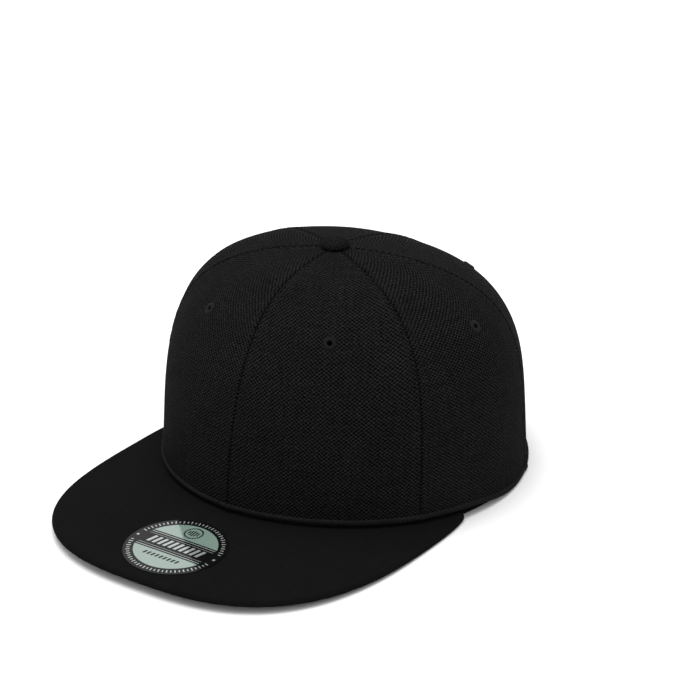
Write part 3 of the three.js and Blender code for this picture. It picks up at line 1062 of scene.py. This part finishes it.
def make_eyelet(cap, panel, side):
    """One stitched eyelet: threads laid side by side round a small hole."""
    middle, normal = eyelet_seat(cap, panel, SIDES[side])
    hole = cap.sewing.eyelet_hole
    width = cap.sewing.eyelet_rim - hole
    turn = full_turn(THREAD_STATIONS * EYELET_THREADS)
    ridge = np.abs(np.sin(EYELET_THREADS * turn / 2)) ** 0.7
    ridge_height = THREAD_RIDGE * (ridge - 0.6)
    # The rim wanders by some hundredths of the width, and draws in between two threads.
    uneven = 0.05 * np.sin(7 * turn + 0.4) + 0.03 * np.sin(11 * turn) + 0.06 * (ridge - 1)
    outward = Vector(normal)
    first = outward.orthogonal().normalized()
    axes = np.array([first, outward.cross(first), outward])
    loops = []
    for out, up in EYELET_RINGS:
        shown = up > 0
        reach = hole + width * out * (1 + uneven * shown)
        height = up * MM + ridge_height * shown
        local = np.stack([reach * np.cos(turn), reach * np.sin(turn), height], -1)
        loops.append(local @ axes + middle)
    loops = np.stack(loops, 1)
    piece = loft(f"stitched_eyelet_{panel.name}_{side}", frame_place(loops), endless=True, sharp=80)
    stitches = cap_materials()["Eyelet stitches"]
    return finish_piece(piece, stitches, "eyelet_thread", f"eyelet_{panel.name}_{side}")


# Brim


def brim_outline(cap, count):
    """The brim's outline from its right end round the tip to its left end, at equal steps."""
    brim = cap.brim
    leaves = oval_point(cap.crown, np.array([math.radians(brim.end_angle)]), cap.crown.hem_proud)[0]
    turn = np.linspace(0, math.pi / 2, 60)
    across = leaves[0] + (brim.half_width - leaves[0]) * np.sin(turn)
    back = (leaves[1] + brim.widest_at) * np.cos(turn) - brim.widest_at
    side = np.stack([across, back], -1)
    turn = np.linspace(0, math.pi / 2, 400)[1:]
    across = brim.half_width * np.maximum(0, np.cos(turn)) ** brim.across_power
    forward = brim.widest_at + brim.reach * np.sin(turn) ** brim.forward_power
    half = np.concatenate([side, np.stack([across, -forward], -1)])
    whole = np.concatenate([half * [-1, 1], half[-2::-1]])
    return even_points(whole, count)


def make_brim(cap):
    """The brim: cloth over an arched board, with a fine seam along its round edge."""
    brim = cap.brim
    stations = 361
    flats = 1 - (1 - np.linspace(0, 1, 26)) ** 1.3  # rows, closer together toward the edge
    bends = np.radians(np.linspace(80, -80, 15))
    bulge = brim.thickness / 2
    seam_depth = 0.28 * MM
    seam_at = -0.25  # radians from the middle of the round edge, below it
    seam_width = 0.09  # radians too
    pinch = 0.15  # share by which each stitch deepens the seam
    pinch_step = 3 * MM
    edge = brim_outline(cap, stations)
    end = math.radians(brim.end_angle)
    inside = oval_point(cap.crown, np.linspace(-end, end, 800), -cap.crown.cloth)[:, :2]
    inside = even_points(inside, stations)
    along = unit(np.gradient(edge, axis=0))
    outward = np.stack([-along[:, 1], along[:, 0]], -1)
    outward *= np.where(np.sum(outward * (edge - inside), 1) < 0, -1, 1)[:, None]
    shoulder = edge - outward * bulge
    pinches = 1 + pinch * np.sin(2 * math.pi * run_along(edge) / pinch_step)[:, None]
    loops = []
    weaves = []

    def lay(points, drop):
        z = brim_top(cap, points[:, 0], points[:, 1]) - drop
        loops.append(np.stack([points[:, 0], points[:, 1], z], -1))
        weaves.append(points + drop)

    for share in flats:
        lay(inside + (shoulder - inside) * share, 0.0)
    for bend in bends:
        seam = seam_depth * bell(bend, seam_at, seam_width)
        points = shoulder + outward * (bulge * math.cos(bend) - seam * pinches)
        lay(points, bulge - bulge * math.sin(bend))
    for share in flats[::-1]:
        lay(inside + (shoulder - inside) * share, brim.thickness)
    piece = loft("cloth_brim", frame_place(np.stack(loops, 1)), weave=np.stack(weaves, 1), sharp=50)
    return finish_piece(piece, cap_materials()["Brim weave"], "brim_cloth", "brim")


# Sticker

STICKER_X = (sticker_low.x + sticker_high.x) / 2
STICKER_Y = (sticker_low.y + sticker_high.y) / 2 - CENTRE_Y
STICKER_LIFT = 0.12 * MM  # over the brim
FILM = 0.25 * MM  # thickness of the film
FACE = STICKER_LIFT + FILM
INK = 0.03 * MM  # thickness of the print
FIELD_EDGE = 7.6 * MM  # from the sticker's middle to the straight edge of each green field

# The pale lines: how far from the sticker's middle, and how wide.
Line = namedtuple("Line", "distance width")
LINES = {"outer": Line(6.4 * MM, 0.42 * MM), "inner": Line(4.7 * MM, 0.22 * MM)}

# Rows of slanted bars: the first and last lie at plus and minus the reach.
Row = namedtuple("Row", "reach count y width height")
PALE_ROW = Row(14.5 * MM, 10, 0.4 * MM, 1.7 * MM, 6.0 * MM)
DARK_ROW = Row(9.6 * MM, 9, -11.4 * MM, 1.2 * MM, 2.6 * MM)

# Ticks round the ring, every other one taller, with none where the two small squares are.
TICKS = 72
TICK_WIDTH = 0.6 * MM
TICK_HEIGHTS = (1.5 * MM, 2.1 * MM)
TICKS_START = 0.2  # sine of the angle from the squares at which they start
SQUARE = 1.3 * MM

# The small wheel: dashes from the near to the far radius round five upright bars.
Wheel = namedtuple("Wheel", "y dashes near far dash_width bar_width")
WHEEL = Wheel(14.2 * MM, 24, 4.1 * MM, 5.0 * MM, 1.0 * MM, 0.7 * MM)
WHEEL_REACH = 2.6 * MM  # from its middle to the outermost bars
WHEEL_BARS = (3.0 * MM, 4.4 * MM, 5.2 * MM, 4.4 * MM, 3.0 * MM)


def on_brim(cap, x, y, lift):
    """Points over the brim, at places from the sticker's middle."""
    x = x + STICKER_X
    y = y + STICKER_Y
    return np.stack([x, y, brim_top(cap, x, y) + lift], -1)


def sticker_patch(cap, name, x, low, high, lift, thickness, rows):
    """A thin patch of the sticker that follows the brim. At each x it goes from low to high."""
    y = low[:, None] + (high - low)[:, None] * np.linspace(0, 1, rows)
    columns = np.broadcast_to(x[:, None], y.shape)
    upper = on_brim(cap, columns, y, lift + thickness)
    lower = on_brim(cap, columns, y, lift)
    return loft(name, frame_place(np.concatenate([upper, lower[:, ::-1]], 1)), sharp=40)


def round_columns(radius, edge=0.0, count=72):
    """Positions across a round field that starts at a straight edge."""
    reach = math.sqrt(radius**2 - edge**2)
    return reach * np.sin(np.radians(np.linspace(-89.2, 89.2, count)))


def bars(cap, name, corners, lift):
    """Small flat bars printed on the sticker, each given by its four corners."""
    corners = np.asarray(corners)
    x = corners[..., 0]
    y = corners[..., 1]
    vertices = np.concatenate([on_brim(cap, x, y, lift), on_brim(cap, x, y, lift + INK)], 1)
    box = np.array([(0, 3, 2, 1), (4, 5, 6, 7), (0, 1, 5, 4), (1, 2, 6, 5), (2, 3, 7, 6), (3, 0, 4, 7)])
    faces = (np.arange(len(corners))[:, None, None] * 8 + box[None]).reshape(-1, 4)
    return new_object(name, frame_place(vertices.reshape(-1, 3)), faces.tolist(), sharp=40)


def slanted_bar(x, y, width, height, slant=0.25):
    """Corners of an upright bar that leans to the right."""
    shift = slant * height / 2
    left = x - width / 2
    right = x + width / 2
    low = y - height / 2
    high = y + height / 2
    return [(left - shift, low), (right - shift, low), (right + shift, high), (left + shift, high)]


def radial_bar(angle, near, far, width):
    """Corners of a bar that points away from the sticker's middle."""
    out = np.array([math.cos(angle), math.sin(angle)])
    side = np.array([-out[1], out[0]]) * width / 2
    return np.array([out * near - side, out * far - side, out * far + side, out * near + side])


def row_of_bars(row):
    """Corners of slanted bars at equal steps in a row."""
    places = np.linspace(-row.reach, row.reach, row.count)
    return [slanted_bar(x, row.y, row.width, row.height) for x in places]


def make_disc(cap):
    """The dark film that carries the print."""
    radius = cap.brim.sticker_radius
    x = round_columns(radius)
    half = np.sqrt(radius**2 - x**2)
    disc = sticker_patch(cap, "sticker_disc", x, -half, half, STICKER_LIFT, FILM, rows=24)
    return finish_piece(disc, cap_materials()["Dark film"], "sticker_film", "brim_sticker")


def make_fields(cap):
    """The two green fields, one on each side of the dark bar."""
    field = cap.brim.print_radius
    x = round_columns(field, FIELD_EDGE)
    straight = np.full_like(x, FIELD_EDGE)
    curved = np.sqrt(np.maximum(field**2 - x**2, FIELD_EDGE**2))
    for name, low, high in (("upper", straight, curved), ("lower", -curved, -straight)):
        patch = sticker_patch(cap, f"sticker_field_{name}", x, low, high, FACE, INK, rows=10)
        finish_piece(patch, cap_materials()["Green foil"], "sticker_film")


def make_lines(cap):
    """Two thin pale lines on each side of the dark bar, the outer one wider."""
    reach = math.sqrt(cap.brim.print_radius**2 - FIELD_EDGE**2)
    x = np.linspace(-reach, reach, 40)
    for name, sign in (("upper", 1), ("lower", -1)):
        for part, line in LINES.items():
            y = np.full_like(x, sign * line.distance)
            half = line.width / 2
            patch_name = f"sticker_line_{name}_{part}"
            patch = sticker_patch(cap, patch_name, x, y - half, y + half, FACE, INK, rows=2)
            finish_piece(patch, cap_materials()["Pale foil"], "sticker_film")


def make_pale_marks(cap):
    """A row of bars along the dark bar, ticks round the ring, and a square at each side."""
    ring = (cap.brim.print_radius + cap.brim.sticker_radius) / 2
    marks = row_of_bars(PALE_ROW)
    for step in range(TICKS):
        angle = 2 * math.pi * (step + 0.5) / TICKS
        if abs(math.sin(angle)) > TICKS_START:
            half = TICK_HEIGHTS[step % 2] / 2
            marks.append(radial_bar(angle, ring - half, ring + half, TICK_WIDTH))
    for sign in (-1, 1):
        marks.append(slanted_bar(sign * ring, 0, SQUARE, SQUARE, slant=0))
    piece = bars(cap, "sticker_ticks", marks, FACE)
    return finish_piece(piece, cap_materials()["Pale foil"], "sticker_film")


def make_dark_marks(cap):
    """A row of short bars on the lower green field, and a small wheel on the upper one."""
    marks = row_of_bars(DARK_ROW)
    for angle in full_turn(WHEEL.dashes):
        dash = radial_bar(angle, WHEEL.near, WHEEL.far, WHEEL.dash_width)
        marks.append(dash + [0, WHEEL.y])
    for x, height in zip(np.linspace(-WHEEL_REACH, WHEEL_REACH, len(WHEEL_BARS)), WHEEL_BARS):
        marks.append(slanted_bar(x, WHEEL.y, WHEEL.bar_width, height, slant=0))
    piece = bars(cap, "sticker_dashes", marks, FACE + INK)
    return finish_piece(piece, cap_materials()["Dark film"], "sticker_film")


def make_sticker(cap):
    """The round sticker: a dark film with two green fields, thin pale lines and plain marks."""
    make_disc(cap)
    make_fields(cap)
    make_lines(cap)
    make_pale_marks(cap)
    make_dark_marks(cap)


# Stage

SENSOR = 36  # width of the camera's sensor, in millimetres
SEEN = (0.01, 50)  # nearest and farthest distance that the camera sees
TOP_LIGHT_AT = (-0.2, 0, 1.9)
LEFT_LIGHT_AT = (-1.6, -1, 1.2)


def view_axes(studio):
    """The camera's right, up and forward directions."""
    turn = math.radians(studio.azimuth)
    down = math.radians(studio.elevation)
    roll = math.radians(studio.roll)
    right = Vector((math.cos(turn), math.sin(turn), 0))
    ahead = Vector((-math.sin(turn), math.cos(turn), 0))
    forward = math.cos(down) * ahead - Vector((0, 0, math.sin(down)))
    up = right.cross(forward)
    turned_right = math.cos(roll) * right + math.sin(roll) * up
    turned_up = math.cos(roll) * up - math.sin(roll) * right
    return turned_right, turned_up, forward


def add_camera(studio):
    """The camera, at the place from which the cap was photographed."""
    right, up, forward = view_axes(studio)
    data = bpy.data.cameras.new("camera")
    data.sensor_width = SENSOR
    data.lens = studio.lens / MM
    data.clip_start, data.clip_end = SEEN
    camera = placed("camera", data)
    middle = Vector((0, CENTRE_Y, 0))
    camera.location = middle - forward * studio.distance + up * studio.raise_by + right * studio.slide
    camera.rotation_mode = "QUATERNION"
    camera.rotation_quaternion = Matrix((right, up, -forward)).transposed().to_quaternion()
    bpy.context.scene.camera = camera


def add_floor(studio):
    """A plain pale floor."""
    half = studio.floor_size / 2
    corners = [(-half, -half, 0), (half, -half, 0), (half, half, 0), (-half, half, 0)]
    floor = new_object("floor", corners, [(0, 1, 2, 3)])
    material, _, shader = base_material("Floor paper")
    shader.inputs["Base Color"].default_value = (*studio.floor, 1)
    shader.inputs["Roughness"].default_value = 0.9
    shader.inputs["Specular IOR Level"].default_value = 0.1
    floor.data.materials.append(material)


def add_softbox(name, place, power, studio):
    """A square soft light that faces the middle of the crown."""
    data = bpy.data.lights.new(name, "AREA")
    data.shape = "SQUARE"
    data.size = studio.light_size
    data.energy = power
    light = placed(name, data)
    light.location = place
    light.rotation_mode = "QUATERNION"
    aim = Vector((0, 0, APEX_HEIGHT / 2))
    light.rotation_quaternion = (aim - Vector(place)).to_track_quat("-Z", "Y")


def add_lights(studio):
    """Even light from all round, a strong soft light above and a weak one at the left."""
    world = bpy.context.scene.world or bpy.data.worlds.new("studio")
    bpy.context.scene.world = world
    world.use_nodes = True
    background = next(node for node in world.node_tree.nodes if node.type == "BACKGROUND")
    background.inputs["Color"].default_value = (1, 1, 1, 1)
    background.inputs["Strength"].default_value = studio.world
    add_softbox("top_light", TOP_LIGHT_AT, studio.top_power, studio)
    add_softbox("left_light", LEFT_LIGHT_AT, studio.left_power, studio)
    view = bpy.context.scene.view_settings
    view.view_transform = "Standard"
    view.look = "None"
    view.exposure = 0
    view.gamma = 1


# Add-on


class CapSettings(bpy.types.PropertyGroup):
    """All settings of the cap."""

    crown: bpy.props.PointerProperty(type=CapCrown, name="Crown", description="Sizes of the crown")
    brim: bpy.props.PointerProperty(type=CapBrim, name="Brim", description="Sizes of the brim")
    sewing: bpy.props.PointerProperty(type=CapSewing, name="Sewing", description="Seams and stitches")
    colours: bpy.props.PointerProperty(type=CapColours, name="Colours", description="Cloth and sticker")
    studio: bpy.props.PointerProperty(type=CapStudio, name="Studio", description="Camera and lights")


class CAP_OT_stage(bpy.types.Operator):
    """Sets the camera, the floor and the lights"""

    bl_idname = "cap.stage"
    bl_label = "Stage"

    def execute(self, context):
        studio = context.scene.cap.studio
        add_camera(studio)
        add_floor(studio)
        add_lights(studio)
        return {"FINISHED"}


class CAP_OT_crown(bpy.types.Operator):
    """Sews the six crown panels"""

    bl_idname = "cap.crown"
    bl_label = "Crown Panels"

    def execute(self, context):
        for panel in PANELS:
            for side in SIDES:
                make_panel(context.scene.cap, panel, side)
        return {"FINISHED"}


class CAP_OT_topstitching(bpy.types.Operator):
    """Lays the rows of stitches beside the crown's seams"""

    bl_idname = "cap.topstitching"
    bl_label = "Topstitching"

    def execute(self, context):
        make_topstitching(context.scene.cap)
        return {"FINISHED"}


class CAP_OT_hem(bpy.types.Operator):
    """Rolls the hem round the foot of the crown"""

    bl_idname = "cap.hem"
    bl_label = "Rolled Hem"

    def execute(self, context):
        make_hem(context.scene.cap)
        return {"FINISHED"}


class CAP_OT_sweatband(bpy.types.Operator):
    """Puts the band inside the foot of the crown"""

    bl_idname = "cap.sweatband"
    bl_label = "Sweatband"

    def execute(self, context):
        make_sweatband(context.scene.cap)
        return {"FINISHED"}


class CAP_OT_button(bpy.types.Operator):
    """Covers the button on the top"""

    bl_idname = "cap.button"
    bl_label = "Button"

    def execute(self, context):
        make_button(context.scene.cap)
        return {"FINISHED"}


class CAP_OT_eyelets(bpy.types.Operator):
    """Stitches the six eyelets"""

    bl_idname = "cap.eyelets"
    bl_label = "Eyelets"

    def execute(self, context):
        for panel in PANELS:
            for side in SIDES:
                make_eyelet(context.scene.cap, panel, side)
        return {"FINISHED"}


class CAP_OT_brim(bpy.types.Operator):
    """Covers the brim in cloth"""

    bl_idname = "cap.brim"
    bl_label = "Brim"

    def execute(self, context):
        make_brim(context.scene.cap)
        return {"FINISHED"}


class CAP_OT_sticker(bpy.types.Operator):
    """Puts the round sticker on the brim"""

    bl_idname = "cap.sticker"
    bl_label = "Sticker"

    def execute(self, context):
        make_sticker(context.scene.cap)
        return {"FINISHED"}


OPERATORS = (
    CAP_OT_stage,
    CAP_OT_crown,
    CAP_OT_topstitching,
    CAP_OT_hem,
    CAP_OT_sweatband,
    CAP_OT_button,
    CAP_OT_eyelets,
    CAP_OT_brim,
    CAP_OT_sticker,
)


class CAP_PT_panel(bpy.types.Panel):
    """Lists the steps that build the cap, and its settings"""

    bl_idname = "CAP_PT_panel"
    bl_label = "Fitted Cap"
    bl_space_type = "VIEW_3D"
    bl_region_type = "UI"
    bl_category = "Cap"

    def draw(self, context):
        for operator in OPERATORS:
            self.layout.operator(operator.bl_idname)
        for name in CapSettings.__annotations__:
            group = getattr(context.scene.cap, name)
            box = self.layout.box()
            box.label(text=name.capitalize())
            for setting in type(group).__annotations__:
                box.prop(group, setting)


CLASSES = (CapCrown, CapBrim, CapSewing, CapColours, CapStudio, CapSettings, *OPERATORS, CAP_PT_panel)


def register():
    """Registers the classes and the scene's settings."""
    for item in CLASSES:
        bpy.utils.register_class(item)
    bpy.types.Scene.cap = bpy.props.PointerProperty(type=CapSettings)


def unregister():
    """Takes them away again."""
    del bpy.types.Scene.cap
    for item in reversed(CLASSES):
        bpy.utils.unregister_class(item)


def main():
    """Builds the cap step by step."""
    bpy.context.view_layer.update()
    register()
    bpy.ops.cap.stage()
    bpy.ops.cap.crown()
    bpy.ops.cap.topstitching()
    bpy.ops.cap.hem()
    bpy.ops.cap.sweatband()
    bpy.ops.cap.button()
    bpy.ops.cap.eyelets()
    bpy.ops.cap.brim()
    bpy.ops.cap.sticker()


if __name__ == "__main__":
    main()
